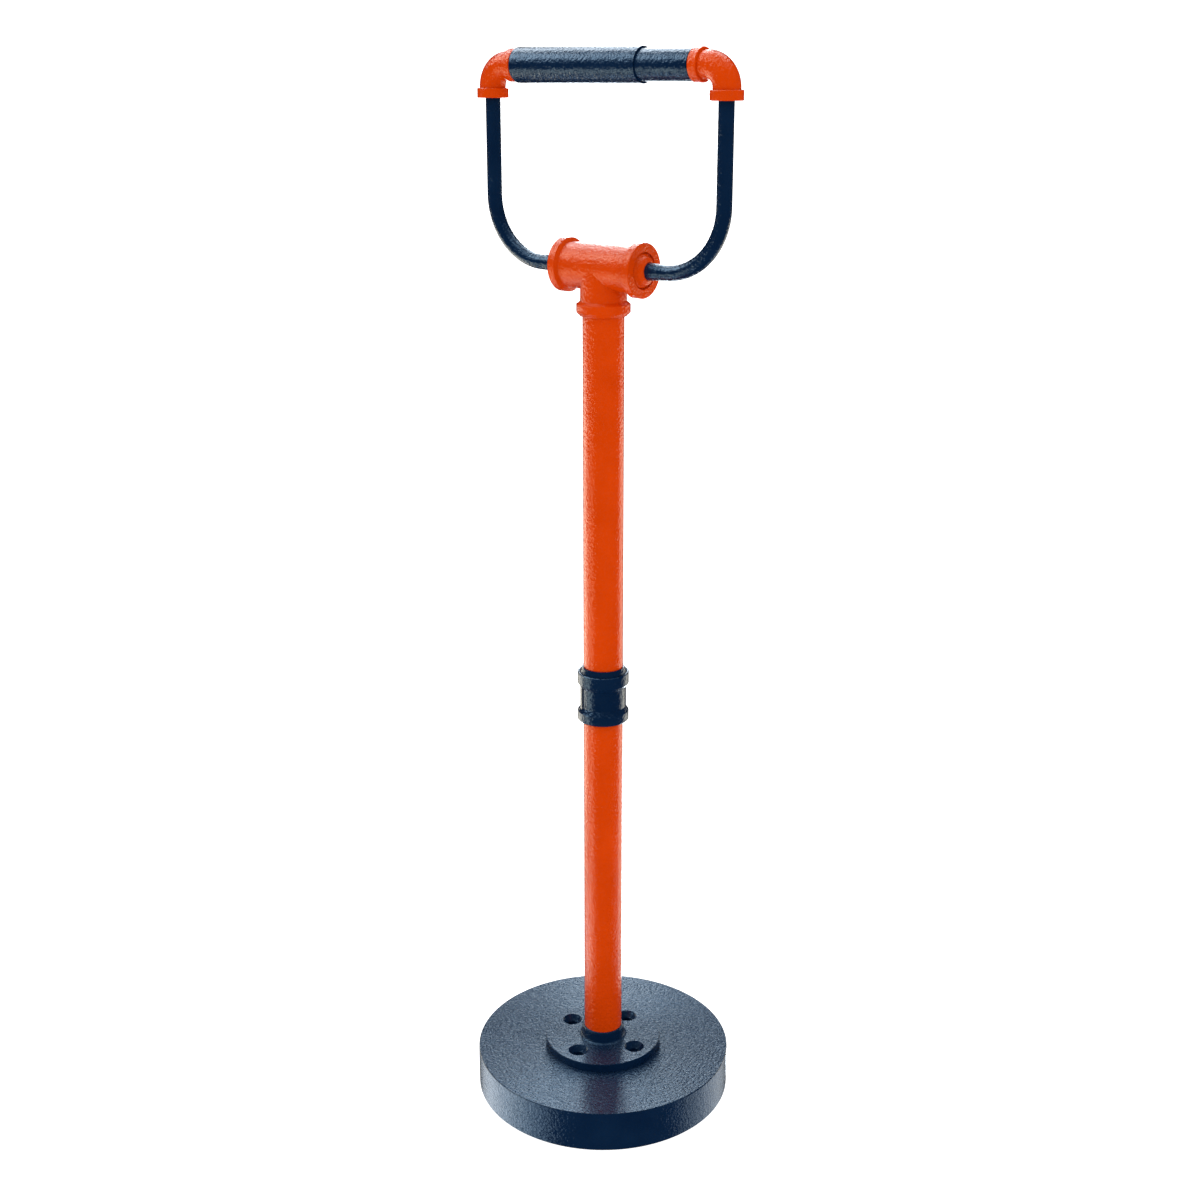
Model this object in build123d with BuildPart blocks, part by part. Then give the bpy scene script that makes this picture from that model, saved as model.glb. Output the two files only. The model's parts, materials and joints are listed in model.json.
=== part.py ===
from build123d import *
import os

# Free-standing tissue roll holder made of pipe fittings.
# Millimetres. +Z is up, +X runs along the roller, and the front faces -Y.
# The origin is on the floor, at the middle of the round base.

os.makedirs("parts", exist_ok=True)

# Fits
THREAD_GAP = 0.05  # radial gap between a threaded end and its socket
PRESS_GAP = 0.03  # radial gap round a plug that is pressed into a tube
RUNNING_GAP = 0.1  # radial gap between the two telescoping sleeves
PIVOT_GAP = 0.35  # radial gap round a pivot pin in its elbow
EDGE = 0.5  # small edge break on turned parts

# Base
PAD_THICKNESS = 1.0
PAD_RADIUS = 87.0
PAD_HOLE_RADIUS = 15.0
BASE_RADIUS = 90.0
BASE_THICKNESS = 29.0
BASE_EDGE = 0.6
BASE_TOP = PAD_THICKNESS + BASE_THICKNESS

# Bolt that holds the pipe to the base from below
BOLT_RADIUS = 5.0
BOLT_HEAD_FLATS = 17.0
BOLT_HEAD_HEIGHT = 6.4
BOLT_HOLE_RADIUS = 5.5
BOLT_POCKET_RADIUS = 13.0
BOLT_POCKET_DEPTH = 10.0
WASHER_RADIUS = 10.5
WASHER_HOLE_RADIUS = 5.25
WASHER_THICKNESS = 2.0
POCKET_TOP = PAD_THICKNESS + BOLT_POCKET_DEPTH
HEAD_TOP = POCKET_TOP - WASHER_THICKNESS

# Three-quarter inch pipe
PIPE_RADIUS = 13.335
PIPE_BORE_RADIUS = 10.465
PIPE_ENGAGEMENT = 14.0  # how far a pipe screws into a fitting
PIPE_END_CHAMFER = 0.8
SOCKET_RADIUS = PIPE_RADIUS + THREAD_GAP

# Threaded plug in the foot of the lower pipe
PLUG_RADIUS = PIPE_BORE_RADIUS - PRESS_GAP
PLUG_HEIGHT = 14.0
PLUG_LIFT = 2.0  # height of the plug above the end of the pipe

# Floor flange
FLANGE_RADIUS = 41.2
FLANGE_PLATE = 6.0
FLANGE_HEIGHT = 14.5
HUB_TOP_RADIUS = 14.8
HUB_FOOT_RADIUS = 15.4
HUB_FILLET = 2.2
HUB_RIM = 1.1  # rounding of the hub's top edge
FLANGE_HOLE_CIRCLE = 28.5  # radius of the circle of screw holes
FLANGE_HOLES = 4
FLANGE_HOLE_RADIUS = 3.6
FLANGE_SINK_RADIUS = 7.0
FLANGE_TOP = BASE_TOP + FLANGE_HEIGHT

# Straight coupling between the two pipes
COUPLING_BOTTOM = 282.2
COUPLING_LENGTH = 38.2
COUPLING_BAND_RADIUS = 17.3
COUPLING_WAIST_RADIUS = 15.0
LOWER_BAND = 6.6  # length of the band round the lower end
UPPER_BAND = 7.9  # length of the band below the collar
COUPLING_SHOULDER = 3.2  # length of the cone from band to waist
COUPLING_BEVEL = 0.8
COLLAR_HEIGHT = 3.6
COLLAR_FOOT_RADIUS = 15.5
COLLAR_TOP_RADIUS = 14.2
GROOVE_DEPTH = 0.8
GROOVE_WIDTH = 0.7
COUPLING_RELIEF_RADIUS = 13.7
RIB_RADIUS = 15.7
RIB_WIDTH = 4.0
RIB_ANGLE = 56.0  # direction of the first rib, the other is opposite
COUPLING_TOP = COUPLING_BOTTOM + COUPLING_LENGTH
LEDGE_Z = COUPLING_TOP - COLLAR_HEIGHT

# Tee: three-quarter inch branch down, half inch run along X
TEE_Z = 585.2
TEE_BRANCH_BOTTOM = 555.4
TEE_HALF_RUN = 32.0
TEE_BODY_RADIUS = 14.5
TEE_BRANCH_FOOT_RADIUS = 14.9  # just above the branch's band
TEE_BRANCH_NECK_RADIUS = 14.4  # at the height of the run's axis
TEE_BAND_RADIUS = 17.0
TEE_BAND = 5.2
TEE_SHOULDER = 1.6
TEE_BRANCH_BAND_RADIUS = 17.2
TEE_BRANCH_BAND = 9.0
TEE_BRANCH_BEVEL = 2.2
RUN_SOCKET_RADIUS = 10.72
RUN_MOUTH_RADIUS = 11.4
RUN_MOUTH_DEPTH = 1.5
RUN_MOUTH_BEVEL = 0.7
RUN_BORE_RADIUS = 9.4

# Face bushings that take the arms
BUSHING_RADIUS = RUN_SOCKET_RADIUS - THREAD_GAP
BUSHING_DEPTH = 13.4  # how far a bushing reaches into the tee
BUSHING_EDGE = 1.2
BUSHING_DOME = 3.8  # how far the domed face stands out of the tee
BUSHING_SHOULDER_RADIUS = 8.4  # where the dome turns from steep to flat
BUSHING_SHOULDER_HEIGHT = 2.0
BUSHING_NOSE_RADIUS = 6.2

# Arms: three-eighths tube, bent once
ARM_RADIUS = 4.7625
ARM_BORE_RADIUS = 3.4
ARM_X = 90.0
ARM_BEND_RADIUS = 41.0
ARM_START_X = 20.5
ARM_FOOT_RADIUS = 5.4  # thicker end that sits in the bushing
ARM_FOOT_END_X = 38.0
ARM_TAPER_END_X = 47.0
ARM_SOCKET_RADIUS = ARM_RADIUS + THREAD_GAP
FOOT_SOCKET_RADIUS = ARM_FOOT_RADIUS + THREAD_GAP

# Roller axis and elbows
ROLLER_Z = 705.6
ELBOW_BODY_RADIUS = 8.35
ELBOW_BORE_RADIUS = 3.6
ELBOW_BEND_RADIUS = 13.0
ELBOW_BAND_RADIUS = 10.0
ELBOW_BAND = 6.0
ELBOW_BAND_EDGE = 0.6
ELBOW_BOTTOM = 685.8
ELBOW_FACE_X = 68.2
ARM_TOP = ELBOW_BOTTOM + 10.0
ARM_SOCKET_DEPTH = 10.5
PIVOT_SOCKET_DEPTH = 12.0

# Telescoping roller
OUTER_RADIUS = 10.75
OUTER_BORE_RADIUS = 10.0
OUTER_LEFT = -67.0
OUTER_RIGHT = 30.1
LIP_LENGTH = 2.0
INNER_RADIUS = 9.55
INNER_BORE_RADIUS = 8.6
INNER_LEFT = 0.0
INNER_RIGHT = 67.7
FLARE_RADIUS = OUTER_BORE_RADIUS - RUNNING_GAP
FLARE_LENGTH = 3.0
LIP_RADIUS = INNER_RADIUS + RUNNING_GAP
PIVOT_RADIUS = 4.0
PIVOT_LENGTH = 9.3
PIVOT_CHAMFER = 1.0
END_PLUG_DEPTH = 6.5
SPIGOT_RADIUS = 5.6
SPIGOT_LENGTH = 4.0

# Spring inside the roller
SPRING_RADIUS = 6.9  # radius of the wire's centre line
SPRING_WIRE_RADIUS = 0.6
SPRING_PITCH = 7.5
SPRING_END_GAP = 0.1
PIVOT_SOCKET_RADIUS = PIVOT_RADIUS + PIVOT_GAP

SIDES = (("left", -1), ("right", 1))
RUN_AXIS = Axis((0, 0, TEE_Z), (1, 0, 0))
ROLLER_AXIS = Axis((0, 0, ROLLER_Z), (1, 0, 0))


# Soft ring under the base
with BuildPart() as base_pad:
    with BuildSketch():
        Circle(PAD_RADIUS)
        Circle(PAD_HOLE_RADIUS, mode=Mode.SUBTRACT)
    extrude(amount=PAD_THICKNESS)
base_pad.part.label = "base_pad"
export_step(base_pad.part, "parts/base_pad.step")

# Heavy base with a pocket below for the bolt's head
with BuildPart() as base_disc:
    with BuildSketch(Plane.XY.offset(PAD_THICKNESS)):
        Circle(BASE_RADIUS)
    extrude(amount=BASE_THICKNESS)
    fillet(base_disc.edges().group_by(Axis.Z)[-1], BASE_EDGE)
    chamfer(base_disc.edges().group_by(Axis.Z)[0], BASE_EDGE)
    with Locations(base_disc.faces().sort_by(Axis.Z)[0]):
        CounterBoreHole(BOLT_HOLE_RADIUS, BOLT_POCKET_RADIUS, BOLT_POCKET_DEPTH)
base_disc.part.label = "base_disc"
export_step(base_disc.part, "parts/base_disc.step")

# Plain washer between the bolt's head and the top of the pocket
with BuildPart() as base_washer:
    with BuildSketch(Plane.XY.offset(HEAD_TOP)):
        Circle(WASHER_RADIUS)
        Circle(WASHER_HOLE_RADIUS, mode=Mode.SUBTRACT)
    extrude(amount=WASHER_THICKNESS)
base_washer.part.label = "base_washer"
export_step(base_washer.part, "parts/base_washer.step")

# Hexagon bolt, from the pocket up into the plug
pipe_foot = FLANGE_TOP - PIPE_ENGAGEMENT + EDGE
plug_bottom = pipe_foot + PLUG_LIFT
bolt_tip = plug_bottom + PLUG_HEIGHT + EDGE
with BuildPart() as base_bolt:
    with BuildSketch(Plane.XY.offset(HEAD_TOP - BOLT_HEAD_HEIGHT)):
        RegularPolygon(BOLT_HEAD_FLATS / 2, 6, major_radius=False)
    extrude(amount=BOLT_HEAD_HEIGHT)
    with BuildSketch(Plane.XY.offset(HEAD_TOP)):
        Circle(BOLT_RADIUS)
    extrude(amount=bolt_tip - HEAD_TOP)
    chamfer(base_bolt.edges().group_by(Axis.Z)[-1], 2 * EDGE)
base_bolt.part.label = "base_bolt"
export_step(base_bolt.part, "parts/base_bolt.step")

# Tapped plug, fixed in the foot of the lower pipe
with BuildPart() as pipe_plug:
    with BuildSketch(Plane.XY.offset(plug_bottom)):
        Circle(PLUG_RADIUS)
        Circle(BOLT_RADIUS + THREAD_GAP, mode=Mode.SUBTRACT)
    extrude(amount=PLUG_HEIGHT)
pipe_plug.part.label = "pipe_plug"
export_step(pipe_plug.part, "parts/pipe_plug.step")

# Floor flange: round plate, low hub and four empty countersunk holes
with BuildPart() as floor_flange:
    with BuildSketch(Plane.XZ):
        with BuildLine():
            Polyline(
                (SOCKET_RADIUS, BASE_TOP),
                (FLANGE_RADIUS, BASE_TOP),
                (FLANGE_RADIUS, BASE_TOP + FLANGE_PLATE),
                (HUB_FOOT_RADIUS, BASE_TOP + FLANGE_PLATE),
                (HUB_TOP_RADIUS, FLANGE_TOP),
                (SOCKET_RADIUS, FLANGE_TOP),
                close=True,
            )
        make_face()
    revolve(axis=Axis.Z)
    hub_foot = floor_flange.edges().filter_by_position(
        Axis.Z, BASE_TOP + FLANGE_PLATE - EDGE, BASE_TOP + FLANGE_PLATE + EDGE
    )
    fillet(hub_foot.sort_by(SortBy.RADIUS)[0], HUB_FILLET)
    plate_rim = floor_flange.edges().filter_by_position(
        Axis.Z, BASE_TOP + FLANGE_PLATE - EDGE, BASE_TOP + FLANGE_PLATE + EDGE
    )
    fillet(plate_rim.sort_by(SortBy.RADIUS)[-1], EDGE)
    hub_rim = floor_flange.edges().group_by(Axis.Z)[-1]
    fillet(hub_rim.sort_by(SortBy.RADIUS)[-1], HUB_RIM)
    with Locations((0, 0, BASE_TOP + FLANGE_PLATE)):
        with PolarLocations(FLANGE_HOLE_CIRCLE, FLANGE_HOLES):
            CounterSinkHole(FLANGE_HOLE_RADIUS, FLANGE_SINK_RADIUS, depth=2 * FLANGE_PLATE)
floor_flange.part.label = "floor_flange"
export_step(floor_flange.part, "parts/floor_flange.step")


def straight_pipe(bottom, top):
    """One length of pipe, chamfered outside at both ends."""
    with BuildPart() as pipe:
        with BuildSketch(Plane.XY.offset(bottom)):
            Circle(PIPE_RADIUS)
            Circle(PIPE_BORE_RADIUS, mode=Mode.SUBTRACT)
        extrude(amount=top - bottom)
        ends = pipe.edges().group_by(Axis.Z)
        chamfer(ends[0].sort_by(SortBy.RADIUS)[-1], PIPE_END_CHAMFER)
        chamfer(ends[-1].sort_by(SortBy.RADIUS)[-1], PIPE_END_CHAMFER)
    return pipe


# Lower pipe, from the flange to the coupling
lower_pipe = straight_pipe(pipe_foot, COUPLING_BOTTOM + PIPE_ENGAGEMENT)
lower_pipe.part.label = "lower_pipe"
export_step(lower_pipe.part, "parts/lower_pipe.step")

# Upper pipe, from the coupling to the tee
upper_pipe = straight_pipe(COUPLING_TOP - PIPE_ENGAGEMENT, TEE_BRANCH_BOTTOM + PIPE_ENGAGEMENT)
upper_pipe.part.label = "upper_pipe"
export_step(upper_pipe.part, "parts/upper_pipe.step")

# Coupling: two bands, a waist with two ribs, and a grooved collar on top
waist_bottom = COUPLING_BOTTOM + LOWER_BAND + COUPLING_SHOULDER
waist_top = LEDGE_Z - UPPER_BAND - COUPLING_SHOULDER
with BuildPart() as pipe_coupling:
    with BuildSketch(Plane.XZ):
        with BuildLine():
            Polyline(
                (SOCKET_RADIUS, COUPLING_BOTTOM),
                (COUPLING_BAND_RADIUS - COUPLING_BEVEL, COUPLING_BOTTOM),
                (COUPLING_BAND_RADIUS, COUPLING_BOTTOM + COUPLING_BEVEL),
                (COUPLING_BAND_RADIUS, COUPLING_BOTTOM + LOWER_BAND),
                (COUPLING_WAIST_RADIUS, waist_bottom),
                (COUPLING_WAIST_RADIUS, waist_top),
                (COUPLING_BAND_RADIUS, LEDGE_Z - UPPER_BAND),
                (COUPLING_BAND_RADIUS, LEDGE_Z - EDGE),
                (COUPLING_BAND_RADIUS - EDGE, LEDGE_Z),
                (COLLAR_FOOT_RADIUS + GROOVE_WIDTH, LEDGE_Z),
                (COLLAR_FOOT_RADIUS, LEDGE_Z - GROOVE_DEPTH),
                (COLLAR_FOOT_RADIUS, LEDGE_Z),
                (COLLAR_TOP_RADIUS, COUPLING_TOP),
                (SOCKET_RADIUS, COUPLING_TOP),
                (SOCKET_RADIUS, COUPLING_TOP - PIPE_ENGAGEMENT),
                (COUPLING_RELIEF_RADIUS, COUPLING_TOP - PIPE_ENGAGEMENT - EDGE),
                (COUPLING_RELIEF_RADIUS, COUPLING_BOTTOM + PIPE_ENGAGEMENT + EDGE),
                (SOCKET_RADIUS, COUPLING_BOTTOM + PIPE_ENGAGEMENT),
                close=True,
            )
        make_face()
    revolve(axis=Axis.Z)
    rib_foot = COUPLING_RELIEF_RADIUS + EDGE
    with BuildSketch(Plane.XY.offset(waist_bottom - COUPLING_SHOULDER / 2)):
        with PolarLocations((rib_foot + RIB_RADIUS) / 2, 2, start_angle=RIB_ANGLE):
            Rectangle(RIB_RADIUS - rib_foot, RIB_WIDTH)
    extrude(amount=waist_top - waist_bottom + COUPLING_SHOULDER)
pipe_coupling.part.label = "pipe_coupling"
export_step(pipe_coupling.part, "parts/pipe_coupling.step")

# Tee: beaded run along X, with a slightly tapered branch down out of it
with BuildPart() as pipe_tee:
    with BuildSketch(Plane.XZ):
        with BuildLine():
            shoulder_x = TEE_HALF_RUN - TEE_BAND - TEE_SHOULDER
            band_x = TEE_HALF_RUN - TEE_BAND
            Polyline(
                (-TEE_HALF_RUN, TEE_Z),
                (-TEE_HALF_RUN, TEE_Z + TEE_BAND_RADIUS),
                (-band_x, TEE_Z + TEE_BAND_RADIUS),
                (-shoulder_x, TEE_Z + TEE_BODY_RADIUS),
                (shoulder_x, TEE_Z + TEE_BODY_RADIUS),
                (band_x, TEE_Z + TEE_BAND_RADIUS),
                (TEE_HALF_RUN, TEE_Z + TEE_BAND_RADIUS),
                (TEE_HALF_RUN, TEE_Z),
                close=True,
            )
        make_face()
    revolve(axis=RUN_AXIS)
    run_rims = pipe_tee.edges().filter_by(GeomType.CIRCLE).group_by(Axis.X)
    fillet(run_rims[0] + run_rims[-1], EDGE)
    with BuildSketch(Plane.XZ):
        with BuildLine():
            branch_top = TEE_BRANCH_BOTTOM + TEE_BRANCH_BAND
            Polyline(
                (0, TEE_BRANCH_BOTTOM),
                (TEE_BRANCH_BAND_RADIUS - TEE_BRANCH_BEVEL, TEE_BRANCH_BOTTOM),
                (TEE_BRANCH_BAND_RADIUS, TEE_BRANCH_BOTTOM + TEE_BRANCH_BEVEL),
                (TEE_BRANCH_BAND_RADIUS, branch_top - TEE_SHOULDER),
                (TEE_BRANCH_FOOT_RADIUS, branch_top),
                (TEE_BRANCH_NECK_RADIUS, TEE_Z),
                (0, TEE_Z),
                close=True,
            )
        make_face()
    revolve(axis=Axis.Z)
    # Pipe socket in the branch, with a narrower bore up into the run
    with BuildSketch(Plane.XY.offset(TEE_BRANCH_BOTTOM)):
        Circle(SOCKET_RADIUS)
    extrude(amount=PIPE_ENGAGEMENT + EDGE, mode=Mode.SUBTRACT)
    with BuildSketch(Plane.XY.offset(TEE_BRANCH_BOTTOM)):
        Circle(PIPE_BORE_RADIUS)
    extrude(amount=TEE_Z - TEE_BRANCH_BOTTOM, mode=Mode.SUBTRACT)
    # Run bore, with a wider socket and a bevelled mouth at each end
    with BuildSketch(Plane.XZ):
        with BuildLine():
            socket_x = TEE_HALF_RUN - BUSHING_DEPTH
            mouth_x = TEE_HALF_RUN - RUN_MOUTH_DEPTH
            bevel_x = mouth_x - RUN_MOUTH_BEVEL
            Polyline(
                (-TEE_HALF_RUN, TEE_Z),
                (-TEE_HALF_RUN, TEE_Z + RUN_MOUTH_RADIUS),
                (-mouth_x, TEE_Z + RUN_MOUTH_RADIUS),
                (-bevel_x, TEE_Z + RUN_SOCKET_RADIUS),
                (-socket_x, TEE_Z + RUN_SOCKET_RADIUS),
                (-socket_x, TEE_Z + RUN_BORE_RADIUS),
                (socket_x, TEE_Z + RUN_BORE_RADIUS),
                (socket_x, TEE_Z + RUN_SOCKET_RADIUS),
                (bevel_x, TEE_Z + RUN_SOCKET_RADIUS),
                (mouth_x, TEE_Z + RUN_MOUTH_RADIUS),
                (TEE_HALF_RUN, TEE_Z + RUN_MOUTH_RADIUS),
                (TEE_HALF_RUN, TEE_Z),
                close=True,
            )
        make_face()
    revolve(axis=RUN_AXIS, mode=Mode.SUBTRACT)
pipe_tee.part.label = "pipe_tee"
export_step(pipe_tee.part, "parts/pipe_tee.step")

# Face bushings: screwed into the run, with a low dome round each arm
for side, sign in SIDES:
    with BuildPart() as bushing:
        with BuildSketch(Plane.XZ):
            with BuildLine():
                Polyline(
                    (sign * (TEE_HALF_RUN - BUSHING_DEPTH), TEE_Z + FOOT_SOCKET_RADIUS),
                    (sign * (TEE_HALF_RUN - BUSHING_DEPTH), TEE_Z + BUSHING_RADIUS),
                    (sign * (TEE_HALF_RUN - BUSHING_EDGE), TEE_Z + BUSHING_RADIUS),
                    (sign * TEE_HALF_RUN, TEE_Z + BUSHING_RADIUS - BUSHING_EDGE),
                    (sign * (TEE_HALF_RUN + BUSHING_SHOULDER_HEIGHT), TEE_Z + BUSHING_SHOULDER_RADIUS),
                    (sign * (TEE_HALF_RUN + BUSHING_DOME), TEE_Z + BUSHING_NOSE_RADIUS),
                    (sign * (TEE_HALF_RUN + BUSHING_DOME), TEE_Z + FOOT_SOCKET_RADIUS),
                    close=True,
                )
            make_face()
        revolve(axis=RUN_AXIS)
    bushing.part.label = f"{side}_bushing"
    export_step(bushing.part, f"parts/{side}_bushing.step")

# Arms: a thicker foot in the bushing, one large bend, then up into the elbow
for side, sign in SIDES:
    with BuildPart() as arm:
        with BuildLine(Plane.XZ) as arm_path:
            FilletPolyline(
                (sign * ARM_START_X, TEE_Z),
                (sign * ARM_X, TEE_Z),
                (sign * ARM_X, ARM_TOP),
                radius=ARM_BEND_RADIUS,
            )
        with BuildSketch(Plane((sign * ARM_START_X, 0, TEE_Z), z_dir=(sign, 0, 0))):
            Circle(ARM_RADIUS)
            Circle(ARM_BORE_RADIUS, mode=Mode.SUBTRACT)
        sweep(path=arm_path.line)
        with BuildSketch(Plane.XZ):
            with BuildLine():
                Polyline(
                    (sign * ARM_START_X, TEE_Z + ARM_BORE_RADIUS + EDGE),
                    (sign * ARM_START_X, TEE_Z + ARM_FOOT_RADIUS),
                    (sign * ARM_FOOT_END_X, TEE_Z + ARM_FOOT_RADIUS),
                    (sign * ARM_TAPER_END_X, TEE_Z + ARM_RADIUS),
                    (sign * ARM_TAPER_END_X, TEE_Z + ARM_BORE_RADIUS + EDGE),
                    close=True,
                )
            make_face()
        revolve(axis=RUN_AXIS)
    arm.part.label = f"{side}_arm"
    export_step(arm.part, f"parts/{side}_arm.step")

# Elbows: the arm screws in from below, the roller's pivot sits in the other end
for side, sign in SIDES:
    with BuildPart() as elbow:
        foot = Plane((sign * ARM_X, 0, ELBOW_BOTTOM), z_dir=(0, 0, 1))
        mouth = Plane((sign * ELBOW_FACE_X, 0, ROLLER_Z), z_dir=(sign, 0, 0))
        with BuildLine(Plane.XZ) as elbow_path:
            FilletPolyline(
                (sign * ARM_X, ELBOW_BOTTOM),
                (sign * ARM_X, ROLLER_Z),
                (sign * ELBOW_FACE_X, ROLLER_Z),
                radius=ELBOW_BEND_RADIUS,
            )
        with BuildSketch(foot):
            Circle(ELBOW_BODY_RADIUS)
        sweep(path=elbow_path.line)
        for end in (foot, mouth):
            with BuildSketch(end):
                Circle(ELBOW_BAND_RADIUS)
            extrude(amount=ELBOW_BAND)
        bands = elbow.edges().filter_by(GeomType.CIRCLE)
        rims = bands.filter_by(lambda edge: abs(edge.radius - ELBOW_BAND_RADIUS) < EDGE)
        fillet(rims, ELBOW_BAND_EDGE)
        with BuildSketch(foot):
            Circle(ELBOW_BORE_RADIUS)
        sweep(path=elbow_path.line, mode=Mode.SUBTRACT)
        with BuildSketch(foot):
            Circle(ARM_SOCKET_RADIUS)
        extrude(amount=ARM_SOCKET_DEPTH, mode=Mode.SUBTRACT)
        with BuildSketch(mouth):
            Circle(PIVOT_SOCKET_RADIUS)
        extrude(amount=PIVOT_SOCKET_DEPTH, mode=Mode.SUBTRACT)
    elbow.part.label = f"{side}_elbow"
    export_step(elbow.part, f"parts/{side}_elbow.step")

# Outer sleeve, with a rolled lip that keeps the inner sleeve in
with BuildPart() as outer_sleeve:
    with BuildSketch(Plane.XZ):
        with BuildLine():
            Polyline(
                (OUTER_LEFT, ROLLER_Z + OUTER_BORE_RADIUS),
                (OUTER_LEFT, ROLLER_Z + OUTER_RADIUS),
                (OUTER_RIGHT, ROLLER_Z + OUTER_RADIUS),
                (OUTER_RIGHT, ROLLER_Z + LIP_RADIUS),
                (OUTER_RIGHT - LIP_LENGTH, ROLLER_Z + LIP_RADIUS),
                (OUTER_RIGHT - LIP_LENGTH, ROLLER_Z + OUTER_BORE_RADIUS),
                close=True,
            )
        make_face()
    revolve(axis=ROLLER_AXIS)
outer_sleeve.part.label = "outer_sleeve"
export_step(outer_sleeve.part, "parts/outer_sleeve.step")

# Inner sleeve, flared at its hidden end to run in the outer one
with BuildPart() as inner_sleeve:
    with BuildSketch(Plane.XZ):
        with BuildLine():
            Polyline(
                (INNER_LEFT, ROLLER_Z + INNER_BORE_RADIUS),
                (INNER_LEFT, ROLLER_Z + FLARE_RADIUS),
                (INNER_LEFT + FLARE_LENGTH, ROLLER_Z + FLARE_RADIUS),
                (INNER_LEFT + FLARE_LENGTH + EDGE, ROLLER_Z + INNER_RADIUS),
                (INNER_RIGHT, ROLLER_Z + INNER_RADIUS),
                (INNER_RIGHT, ROLLER_Z + INNER_BORE_RADIUS),
                close=True,
            )
        make_face()
    revolve(axis=ROLLER_AXIS)
inner_sleeve.part.label = "inner_sleeve"
export_step(inner_sleeve.part, "parts/inner_sleeve.step")


def end_plug(face_x, sign, radius):
    """A turned plug: pivot outside, body in the sleeve, spigot for the spring."""
    with BuildPart() as plug:
        with BuildSketch(Plane.XZ):
            with BuildLine():
                Polyline(
                    (face_x + sign * PIVOT_LENGTH, ROLLER_Z),
                    (face_x + sign * PIVOT_LENGTH, ROLLER_Z + PIVOT_RADIUS - PIVOT_CHAMFER),
                    (face_x + sign * (PIVOT_LENGTH - PIVOT_CHAMFER), ROLLER_Z + PIVOT_RADIUS),
                    (face_x, ROLLER_Z + PIVOT_RADIUS),
                    (face_x, ROLLER_Z + radius),
                    (face_x - sign * END_PLUG_DEPTH, ROLLER_Z + radius),
                    (face_x - sign * END_PLUG_DEPTH, ROLLER_Z + SPIGOT_RADIUS),
                    (face_x - sign * (END_PLUG_DEPTH + SPIGOT_LENGTH), ROLLER_Z + SPIGOT_RADIUS),
                    (face_x - sign * (END_PLUG_DEPTH + SPIGOT_LENGTH), ROLLER_Z),
                    close=True,
                )
            make_face()
        revolve(axis=ROLLER_AXIS)
    return plug


# Pivot plug in the outer sleeve
outer_end_plug = end_plug(OUTER_LEFT, -1, OUTER_BORE_RADIUS - PRESS_GAP)
outer_end_plug.part.label = "outer_end_plug"
export_step(outer_end_plug.part, "parts/outer_end_plug.step")

# Pivot plug in the inner sleeve
inner_end_plug = end_plug(INNER_RIGHT, 1, INNER_BORE_RADIUS - PRESS_GAP)
inner_end_plug.part.label = "inner_end_plug"
export_step(inner_end_plug.part, "parts/inner_end_plug.step")

# Coil spring that pushes the two sleeves apart
spring_left = OUTER_LEFT + END_PLUG_DEPTH + SPRING_WIRE_RADIUS + SPRING_END_GAP
spring_right = INNER_RIGHT - END_PLUG_DEPTH - SPRING_WIRE_RADIUS - SPRING_END_GAP
with BuildPart() as roller_spring:
    with BuildLine() as coil:
        Helix(
            pitch=SPRING_PITCH,
            height=spring_right - spring_left,
            radius=SPRING_RADIUS,
            center=(spring_left, 0, ROLLER_Z),
            direction=(1, 0, 0),
        )
    with BuildSketch(Plane(coil.line @ 0, z_dir=coil.line % 0)):
        Circle(SPRING_WIRE_RADIUS)
    sweep(path=coil.line, is_frenet=True)
roller_spring.part.label = "roller_spring"
export_step(roller_spring.part, "parts/roller_spring.step")
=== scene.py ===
import bmesh
import bpy
import json
import math
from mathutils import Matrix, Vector


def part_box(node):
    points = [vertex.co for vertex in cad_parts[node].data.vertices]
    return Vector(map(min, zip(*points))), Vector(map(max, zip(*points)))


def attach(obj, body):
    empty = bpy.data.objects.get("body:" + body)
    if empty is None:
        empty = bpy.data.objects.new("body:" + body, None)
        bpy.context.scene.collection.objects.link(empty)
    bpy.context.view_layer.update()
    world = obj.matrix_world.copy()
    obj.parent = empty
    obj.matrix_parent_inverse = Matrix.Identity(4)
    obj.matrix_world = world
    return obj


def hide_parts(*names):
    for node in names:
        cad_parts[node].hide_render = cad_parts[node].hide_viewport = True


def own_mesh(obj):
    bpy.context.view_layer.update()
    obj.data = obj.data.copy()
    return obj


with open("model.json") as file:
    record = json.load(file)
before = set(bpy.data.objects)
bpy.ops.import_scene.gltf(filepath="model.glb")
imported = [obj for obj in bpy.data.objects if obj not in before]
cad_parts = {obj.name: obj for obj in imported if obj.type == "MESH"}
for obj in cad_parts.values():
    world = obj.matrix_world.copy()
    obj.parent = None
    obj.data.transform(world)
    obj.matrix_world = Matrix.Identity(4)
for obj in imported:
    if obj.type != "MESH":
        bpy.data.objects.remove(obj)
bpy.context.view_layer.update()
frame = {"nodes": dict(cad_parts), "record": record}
scene = bpy.context.scene
nodes = frame["nodes"]

# ---------------------------------------------------------------------------
# Driving values. Lengths are in metres
# ---------------------------------------------------------------------------

CAMERA_AZIMUTH = math.radians(38.3)  # round from the front towards +X
CAMERA_DISTANCE = 1.03975
CAMERA_HEIGHT = 0.70196
CAMERA_PITCH = 0.3119  # radians below the horizon
CAMERA_YAW = 0.0021  # radians past the middle of the stand
CAMERA_LENS = 49.2075  # millimetres, as is the sensor
CAMERA_SENSOR = 36.0

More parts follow.
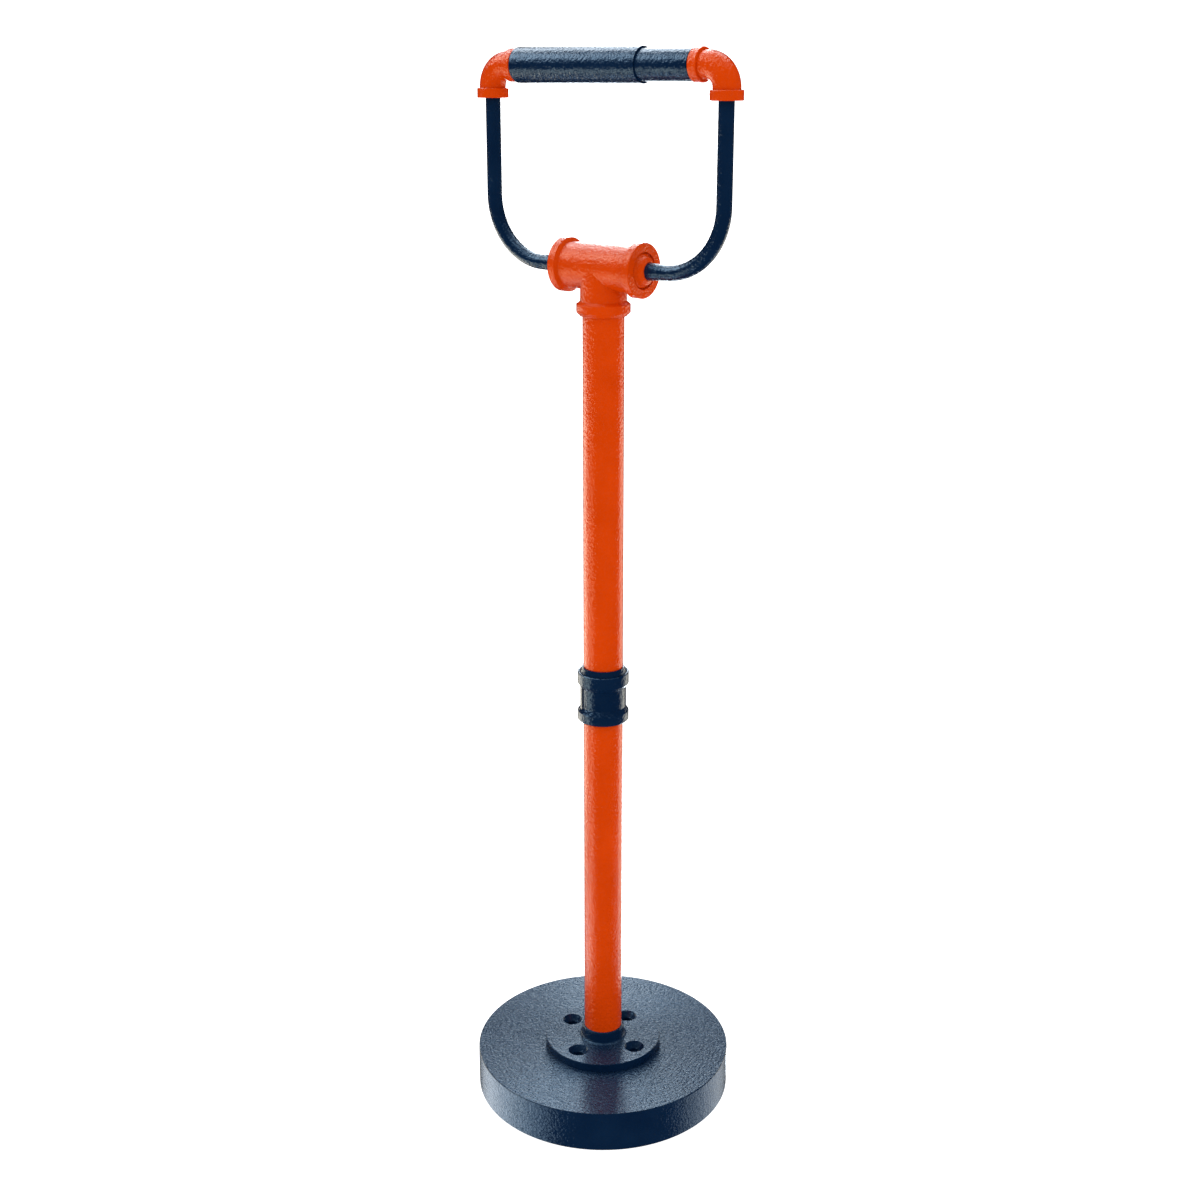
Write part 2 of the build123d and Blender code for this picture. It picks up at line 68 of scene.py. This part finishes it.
SPRING_COIL_RADIUS = 0.0069
SPRING_WIRE_RADIUS = 0.0006
SPRING_TURNS = 16
SPRING_CLOSED_TURNS = 1.6  # close-wound turns at each end
SPRING_CLOSED_PITCH = 2.1 * SPRING_WIRE_RADIUS
SPRING_EASE_TURNS = 0.5  # turns over which the pitch opens up
SPRING_STEPS = 40  # rings of wire in one turn
SPRING_WIRE_SIDES = 12

ORANGE_DARK = (0.67, 0.048, 0.0)
ORANGE_LIGHT = (0.75, 0.057, 0.001)
ORANGE_SHINE = (1.0, 0.62, 0.34)
NAVY_DARK = (0.0015, 0.0110, 0.038)
NAVY_LIGHT = (0.0028, 0.0155, 0.048)
NAVY_SHINE = (0.45, 0.75, 1.0)

CLOUD = 45.0  # patches of slightly other colour in a metre of powder coat
GRAIN = 560.0  # bumps in a metre of powder coat
GRAIN_DETAIL = 2.0
GRAIN_ROUGHNESS = 0.55
NAVY_RELIEF = 0.00045
ORANGE_RELIEF = 0.0006
NOISE_LOW = 0.3  # nearly all of a noise lies between these two values
NOISE_HIGH = 0.7
GLOSS = 0.12  # roughness of the coat between its bumps
GLOSS_BELOW = 0.04
GLOSS_ABOVE = 0.06

# Level faces that were turned on a lathe before they were coated
TURNED_GLOSS = 0.27
TURNED_GRAIN = 0.85  # share of the grain that is left
MARK_RELIEF = 0.9  # height of the tool marks against that of the grain
MARK_STRETCH = 0.02  # shortens the marks' turn in radians to their width in metres
TURNED_STRETCH = 0.9  # how much wider highlights spread across the marks than along them
STRETCH_TURN = 0.25  # turns that spread from along the marks to across them
LEVEL_FROM = 0.6  # upward share of the normal at which a face begins to count as level
LEVEL_TO = 0.9

FLOOR_RADIUS = 2.2
COVE_RADIUS = 1.2
COVE_STEPS = 24
WALL_HEIGHT = 3.0
BOWL_STEPS = 128
PAPER_COLOUR = (0.85, 0.85, 0.85, 1.0)
PAPER_GLOW = 0.95

WHITE = (1.0, 1.0, 1.0, 1.0)
PANEL_COLOUR = (0.86, 0.93, 1.0)
WARM_COLOUR = (1.0, 0.90, 0.74)
PANEL_POWER = 4.0  # watts in a square metre of a panel of brightness 1
PANEL_DISTANCE = 1.5
GLOW_DISTANCE = 0.8
GLOW_LOW = -0.68
GLOW_HIGH = -0.34
GLOW_WIDTH = 25.0  # degrees
LAMP_DISTANCE = 2.0
LAMP_HEIGHT = 0.8
STAGE_MIDDLE = Vector((0.0, 0.0, 0.35))
WORLD_FILL = 1.0
WORLD_MIRRORED = 0.03  # strength of the world in reflections


# ---------------------------------------------------------------------------
# Camera
# ---------------------------------------------------------------------------

camera_data = bpy.data.cameras.new("camera")
camera_data.lens = CAMERA_LENS
camera_data.sensor_width = CAMERA_SENSOR
camera = bpy.data.objects.new("camera", camera_data)
scene.collection.objects.link(camera)
camera.location = (
    CAMERA_DISTANCE * math.sin(CAMERA_AZIMUTH),
    -CAMERA_DISTANCE * math.cos(CAMERA_AZIMUTH),
    CAMERA_HEIGHT,
)
camera.rotation_euler = (math.pi / 2 - CAMERA_PITCH, 0.0, CAMERA_AZIMUTH + CAMERA_YAW)
scene.camera = camera


# ---------------------------------------------------------------------------
# Materials
# ---------------------------------------------------------------------------

class Recipe:
    """A new material, with short calls that add and link its nodes."""

    def __init__(self, name):
        self.material = bpy.data.materials.new(name)
        self.material.use_nodes = True
        self.tree = self.material.node_tree
        self.tree.nodes.clear()
        self.output = self.tree.nodes.new("ShaderNodeOutputMaterial")
        self.shader = self.tree.nodes.new("ShaderNodeBsdfPrincipled")
        self.link(self.shader.outputs["BSDF"], self.output.inputs["Surface"])
        self.place = self.tree.nodes.new("ShaderNodeTexCoord").outputs["Object"]

    def link(self, source, target):
        self.tree.links.new(source, target)

    def noise(self, scale, detail=2.0, roughness=0.5, stretch=None, place=None):
        """Noise over the piece, scale in features per metre."""
        node = self.tree.nodes.new("ShaderNodeTexNoise")
        node.inputs["Scale"].default_value = scale
        node.inputs["Detail"].default_value = detail
        node.inputs["Roughness"].default_value = roughness
        place = place or self.place
        if stretch:
            mapping = self.tree.nodes.new("ShaderNodeMapping")
            mapping.inputs["Scale"].default_value = stretch
            self.link(place, mapping.inputs["Vector"])
            place = mapping.outputs["Vector"]
        self.link(place, node.inputs["Vector"])
        return node.outputs["Fac"]

    def calculate(self, operation, first, second=0.0):
        """One step of arithmetic on two sockets or numbers."""
        node = self.tree.nodes.new("ShaderNodeMath")
        node.operation = operation
        for value, socket in ((first, node.inputs[0]), (second, node.inputs[1])):
            if hasattr(value, "links"):
                self.link(value, socket)
            else:
                socket.default_value = value
        return node.outputs["Value"]

    def parts_of(self, vector):
        """The X, Y and Z of a vector."""
        node = self.tree.nodes.new("ShaderNodeSeparateXYZ")
        self.link(vector, node.inputs["Vector"])
        return node.outputs

    def tool_marks(self):
        """Height of short arcs round the Z axis."""
        where = self.parts_of(self.place)
        squares = [self.calculate("POWER", where[axis], 2.0) for axis in "XY"]
        radius = self.calculate("SQRT", self.calculate("ADD", *squares))
        turn = self.calculate("ARCTAN2", where["Y"], where["X"])
        polar = self.tree.nodes.new("ShaderNodeCombineXYZ")
        self.link(radius, polar.inputs["X"])
        self.link(self.calculate("MULTIPLY", turn, MARK_STRETCH), polar.inputs["Y"])
        return self.noise(GRAIN, GRAIN_DETAIL, GRAIN_ROUGHNESS, place=polar.outputs["Vector"])

    def upward(self):
        """1 on faces that look up or down, 0 on upright ones."""
        normal = self.tree.nodes.new("ShaderNodeTexCoord").outputs["Normal"]
        steepness = self.calculate("ABSOLUTE", self.parts_of(normal)["Z"])
        return self.remap(steepness, LEVEL_FROM, LEVEL_TO, 0.0, 1.0)

    def spread(self, noise, low, high):
        """Stretches a noise to the range from low to high."""
        return self.remap(noise, NOISE_LOW, NOISE_HIGH, low, high)

    def remap(self, value, low, high, to_low, to_high):
        """Maps low to to_low and high to to_high, and holds the ends."""
        node = self.tree.nodes.new("ShaderNodeMapRange")
        node.inputs["From Min"].default_value = low
        node.inputs["From Max"].default_value = high
        node.inputs["To Min"].default_value = to_low
        node.inputs["To Max"].default_value = to_high
        self.link(value, node.inputs["Value"])
        return node.outputs["Result"]

    def mix(self, factor, first, second):
        """A colour between two, by a factor from 0 to 1."""
        node = self.tree.nodes.new("ShaderNodeMix")
        node.data_type = "RGBA"
        self.link(factor, node.inputs["Factor"])
        node.inputs["A"].default_value = (*first, 1.0)
        node.inputs["B"].default_value = (*second, 1.0)
        return node.outputs["Result"]

    def bump(self, height, strength, distance):
        """Normal of a surface with the given relief, distance in metres."""
        node = self.tree.nodes.new("ShaderNodeBump")
        node.inputs["Strength"].default_value = strength
        node.inputs["Distance"].default_value = distance
        self.link(height, node.inputs["Height"])
        return node.outputs["Normal"]

    def set(self, **values):
        """Gives the shader's sockets numbers, colours or other sockets."""
        for name, value in values.items():
            socket = self.shader.inputs[name.replace("_", " ")]
            if hasattr(value, "links"):
                self.link(value, socket)
            else:
                socket.default_value = value


def powder_coat(name, dark, light, shine, relief, turned=False):
    """Textured powder coat: fine raised grain over a slightly uneven film. Where it is turned, level faces
    are smoother, and their tool marks round the post stretch the highlights."""
    recipe = Recipe(name)
    cloud = recipe.noise(CLOUD, 4.0)
    height = recipe.noise(GRAIN, GRAIN_DETAIL, GRAIN_ROUGHNESS)
    gloss = recipe.spread(recipe.noise(GRAIN, 1.0), GLOSS - GLOSS_BELOW, GLOSS + GLOSS_ABOVE)
    if turned:
        upward = recipe.upward()
        grain_left = recipe.remap(upward, 0.0, 1.0, 1.0, TURNED_GRAIN)
        mark_relief = recipe.remap(upward, 0.0, 1.0, 0.0, MARK_RELIEF)
        grain = recipe.calculate("MULTIPLY", height, grain_left)
        marks = recipe.calculate("MULTIPLY", recipe.tool_marks(), mark_relief)
        height = recipe.calculate("ADD", grain, marks)
        duller = recipe.calculate("MULTIPLY", upward, TURNED_GLOSS - GLOSS)
        gloss = recipe.calculate("ADD", gloss, duller)
        tangent = recipe.tree.nodes.new("ShaderNodeTangent")
        tangent.direction_type = "RADIAL"
        tangent.axis = "Z"
        recipe.set(
            Anisotropic=TURNED_STRETCH,
            Anisotropic_Rotation=STRETCH_TURN,
            Tangent=tangent.outputs["Tangent"],
        )
    recipe.set(
        Base_Color=recipe.mix(recipe.spread(cloud, 0.0, 1.0), dark, light),
        Roughness=gloss,
        Specular_IOR_Level=0.5,
        Specular_Tint=(*shine, 1.0),
        Normal=recipe.bump(height, 1.0, relief),
    )
    return recipe.material


def foam_rubber(name):
    """Matt black rubber with open pores."""
    recipe = Recipe(name)
    pores = recipe.noise(1400.0, 3.0, 0.7)
    recipe.set(
        Base_Color=recipe.mix(recipe.noise(120.0, 3.0), (0.010, 0.010, 0.011), (0.026, 0.026, 0.028)),
        Roughness=recipe.spread(pores, 0.75, 0.95),
        Specular_IOR_Level=0.25,
        Normal=recipe.bump(pores, 0.8, 0.0003),
    )
    return recipe.material


def zinc_plate(name):
    """Bright zinc on steel, clouded, with a faint drawn grain."""
    recipe = Recipe(name)
    drawn = recipe.noise(900.0, 3.0, 0.6, stretch=(1.0, 1.0, 0.08))
    recipe.set(
        Base_Color=recipe.mix(recipe.noise(160.0, 4.0), (0.50, 0.52, 0.55), (0.66, 0.68, 0.70)),
        Metallic=1.0,
        Roughness=recipe.spread(drawn, 0.22, 0.42),
        Normal=recipe.bump(drawn, 0.25, 0.00005),
    )
    return recipe.material


def spring_wire(name):
    """Music wire with drawn scratches and a thin film of oil."""
    recipe = Recipe(name)
    drawn = recipe.noise(2600.0, 2.0, 0.6)
    recipe.set(
        Base_Color=recipe.mix(recipe.noise(400.0, 3.0), (0.20, 0.20, 0.21), (0.36, 0.36, 0.37)),
        Metallic=1.0,
        Roughness=recipe.spread(drawn, 0.20, 0.38),
        Coat_Weight=0.3,
        Coat_Roughness=0.1,
        Normal=recipe.bump(drawn, 0.2, 0.00002),
    )
    return recipe.material


NAVY = (NAVY_DARK, NAVY_LIGHT, NAVY_SHINE, NAVY_RELIEF)
ORANGE = (ORANGE_DARK, ORANGE_LIGHT, ORANGE_SHINE, ORANGE_RELIEF)
MATERIALS = {
    "orange_coat": powder_coat("orange_coat", *ORANGE),
    "navy_coat": powder_coat("navy_coat", *NAVY),
    "navy_turned": powder_coat("navy_turned", *NAVY, turned=True),
    "pad_rubber": foam_rubber("pad_rubber"),
    "zinc_steel": zinc_plate("zinc_steel"),
    "spring_steel": spring_wire("spring_steel"),
}


def finish_with(piece, finish):
    """Gives a piece one of the materials above, in place of its own."""
    piece.data.materials.clear()
    piece.data.materials.append(MATERIALS[finish])


for subpart in frame["record"]["subparts"]:
    finish_with(nodes[subpart["node"]], subpart["material_slot"])
# The base and the floor flange keep their slot, navy_coat, and show their tool marks
for turned_node in ("base_disc", "floor_flange"):
    finish_with(nodes[turned_node], "navy_turned")


# ---------------------------------------------------------------------------
# Roller spring: one wire with close-wound ends
# ---------------------------------------------------------------------------

def spring_mesh(name, left, right, axis_z):
    """Round wire wound about a line along X. Its pitch opens up between the closed ends."""
    open_turns = SPRING_TURNS - 2 * SPRING_CLOSED_TURNS
    open_pitch = (right - left - 2 * SPRING_CLOSED_TURNS * SPRING_CLOSED_PITCH) / open_turns
    wire = []
    position = left
    for step in range(SPRING_TURNS * SPRING_STEPS + 1):
        turn = step / SPRING_STEPS
        from_end = min(turn, SPRING_TURNS - turn)
        share = (from_end - SPRING_CLOSED_TURNS) / SPRING_EASE_TURNS + 0.5
        share = min(max(share, 0.0), 1.0)
        share = share * share * (3.0 - 2.0 * share)
        wire.append((position, 2.0 * math.pi * turn))
        position += (SPRING_CLOSED_PITCH + (open_pitch - SPRING_CLOSED_PITCH) * share) / SPRING_STEPS
    stretch = (right - left) / (wire[-1][0] - left)
    mesh = bmesh.new()
    rings = []
    along = Vector((1.0, 0.0, 0.0))
    for place, angle in wire:
        outward = Vector((0.0, math.cos(angle), math.sin(angle)))
        centre = Vector((left + (place - left) * stretch, 0.0, axis_z)) + SPRING_COIL_RADIUS * outward
        ring = []
        for side in range(SPRING_WIRE_SIDES):
            around = 2.0 * math.pi * side / SPRING_WIRE_SIDES
            offset = math.cos(around) * outward + math.sin(around) * along
            ring.append(mesh.verts.new(centre + SPRING_WIRE_RADIUS * offset))
        rings.append(ring)
    for first, second in zip(rings, rings[1:]):
        for side in range(SPRING_WIRE_SIDES):
            after = (side + 1) % SPRING_WIRE_SIDES
            mesh.faces.new((first[side], first[after], second[after], second[side]))
    mesh.faces.new(rings[0])
    mesh.faces.new(reversed(rings[-1]))
    bmesh.ops.recalc_face_normals(mesh, faces=mesh.faces)
    for face in mesh.faces:
        face.smooth = len(face.verts) == 4
    data = bpy.data.meshes.new(name)
    mesh.to_mesh(data)
    mesh.free()
    return data


low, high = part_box("roller_spring")
roller_axis_z = (low.z + high.z) / 2
spring_data = spring_mesh(
    "coil_spring",
    left=low.x + SPRING_WIRE_RADIUS,
    right=high.x - SPRING_WIRE_RADIUS,
    axis_z=roller_axis_z,
)
spring = bpy.data.objects.new("coil_spring", spring_data)
scene.collection.objects.link(spring)
finish_with(spring, "spring_steel")
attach(spring, "roller_outer")
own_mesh(spring)
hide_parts("roller_spring")


# ---------------------------------------------------------------------------
# Stage: a pale floor that curves up into a wall all round
# ---------------------------------------------------------------------------

def stage_bowl():
    """A surface of revolution: flat floor, quarter-round cove, upright wall."""
    profile = [(0.0, 0.0), (FLOOR_RADIUS - COVE_RADIUS, 0.0)]
    for step in range(1, COVE_STEPS + 1):
        angle = math.pi / 2 * step / COVE_STEPS
        out = FLOOR_RADIUS - COVE_RADIUS + COVE_RADIUS * math.sin(angle)
        profile.append((out, COVE_RADIUS - COVE_RADIUS * math.cos(angle)))
    profile.append((FLOOR_RADIUS, WALL_HEIGHT))
    mesh = bmesh.new()
    points = [mesh.verts.new((out, 0.0, up)) for out, up in profile]
    edges = [mesh.edges.new(pair) for pair in zip(points, points[1:])]
    bmesh.ops.spin(
        mesh,
        geom=points + edges,
        cent=(0, 0, 0),
        axis=(0, 0, 1),
        angle=2 * math.pi,
        steps=BOWL_STEPS,
        use_merge=True,
    )
    bmesh.ops.remove_doubles(mesh, verts=mesh.verts, dist=1e-5)
    bmesh.ops.recalc_face_normals(mesh, faces=mesh.faces)
    for face in mesh.faces:
        face.smooth = True
    data = bpy.data.meshes.new("stage_bowl")
    mesh.to_mesh(data)
    mesh.free()
    return bpy.data.objects.new("stage_bowl", data)


bowl = stage_bowl()
scene.collection.objects.link(bowl)
paper = Recipe("stage_paper")
paper.set(
    Base_Color=PAPER_COLOUR,
    Roughness=0.9,
    Emission_Color=WHITE,
    Emission_Strength=PAPER_GLOW,
)
bowl.data.materials.append(paper.material)
# Reflections and shadows pass through the stage, so a panel below the floor still lights the base
bowl.visible_glossy = False
bowl.visible_diffuse = False
bowl.visible_shadow = False


# ---------------------------------------------------------------------------
# Lights: placed round the camera's line of sight. The world gives the even light, and the panels are
# there for the highlights alone
# ---------------------------------------------------------------------------

def panel(name, around, low, high, wide, brightness, distance=PANEL_DISTANCE, colour=PANEL_COLOUR):
    """An upright soft panel that faces the post. around is its direction from the camera's side, in degrees
    anticlockwise from above, wide is its width in degrees, and low and high are the heights of its edges."""
    data = bpy.data.lights.new(name, "AREA")
    data.shape = "RECTANGLE"
    data.size = 2 * distance * math.tan(math.radians(wide / 2))
    data.size_y = high - low
    data.color = colour
    data.energy = PANEL_POWER * brightness * data.size * data.size_y
    light = bpy.data.objects.new(name, data)
    scene.collection.objects.link(light)
    turn = CAMERA_AZIMUTH + math.radians(around)
    light.location = (distance * math.sin(turn), -distance * math.cos(turn), (low + high) / 2)
    light.rotation_euler = (math.pi / 2, 0.0, turn)
    light.visible_camera = False
    light.visible_diffuse = False
    return light


def floor_glow(name, around, brightness):
    """A panel below the level of the floor, which the side of the base mirrors."""
    panel(name, around, GLOW_LOW, GLOW_HIGH, GLOW_WIDTH, brightness, distance=GLOW_DISTANCE)


def lamp_above(name, around, up, wide, brightness):
    """A panel high over the post, tilted down to it. up is its height above the horizon in degrees."""
    light = panel(name, around, -LAMP_HEIGHT / 2, LAMP_HEIGHT / 2, wide, brightness)
    rise = math.radians(up)
    turn = CAMERA_AZIMUTH + math.radians(around)
    outward = Vector((math.sin(turn) * math.cos(rise), -math.cos(turn) * math.cos(rise), math.sin(rise)))
    light.location = STAGE_MIDDLE + LAMP_DISTANCE * outward
    light.rotation_euler = (math.pi / 2 - rise, 0.0, turn)


floor_glow("floor_glow_left_front", around=-60.0, brightness=2.4)
floor_glow("floor_glow_left_near", around=-84.0, brightness=3.6)
floor_glow("floor_glow_left_far", around=-108.0, brightness=3.2)
floor_glow("floor_glow_left_back", around=-132.0, brightness=1.8)
floor_glow("floor_glow_right_front", around=86.0, brightness=1.2)
floor_glow("floor_glow_right_back", around=110.0, brightness=1.5)
floor_glow("floor_glow_right_far", around=134.0, brightness=1.0)
panel("floor_glow_back", around=175.0, low=-1.0, high=-0.4, wide=24.0, brightness=5.0)

# The warm panels are mirrored in the post
panel("post_glow_front", around=-78.0, low=-0.6, high=0.12, wide=24.0, brightness=3.2, colour=WARM_COLOUR)
panel("post_glow_left", around=-126.0, low=-0.6, high=0.3, wide=48.0, brightness=2.9, colour=WARM_COLOUR)
panel("post_glow_right", around=128.0, low=-0.75, high=0.3, wide=40.0, brightness=1.9, colour=WARM_COLOUR)

panel("back", around=180.0, low=0.2, high=1.9, wide=9.0, brightness=5.8)
panel("high_left", around=-88.0, low=1.15, high=1.9, wide=30.0, brightness=1.3)
lamp_above("above_front_left", around=-60.0, up=67.0, wide=50.0, brightness=2.2)
lamp_above("above_left", around=-104.0, up=44.0, wide=40.0, brightness=4.4)
lamp_above("overhead", around=180.0, up=80.0, wide=50.0, brightness=2.0)
lamp_above("above_back", around=-162.0, up=52.0, wide=40.0, brightness=5.0)
lamp_above("above_back_right", around=152.0, up=58.0, wide=28.0, brightness=3.0)
lamp_above("above_right", around=70.0, up=67.0, wide=50.0, brightness=0.9)

# The world fills the shade evenly, and is dimmer in reflections
world = bpy.data.worlds.new("world")
scene.world = world
world.use_nodes = True
sky = world.node_tree
fill = sky.nodes["Background"]
fill.inputs["Strength"].default_value = WORLD_FILL
fill.inputs["Color"].default_value = WHITE
dim = sky.nodes.new("ShaderNodeBackground")
dim.inputs["Strength"].default_value = WORLD_MIRRORED
dim.inputs["Color"].default_value = WHITE
rays = sky.nodes.new("ShaderNodeLightPath")
choice = sky.nodes.new("ShaderNodeMixShader")
sky.links.new(rays.outputs["Is Glossy Ray"], choice.inputs["Fac"])
sky.links.new(fill.outputs["Background"], choice.inputs[1])
sky.links.new(dim.outputs["Background"], choice.inputs[2])
sky.links.new(choice.outputs["Shader"], sky.nodes["World Output"].inputs["Surface"])

scene.view_settings.view_transform = "Standard"
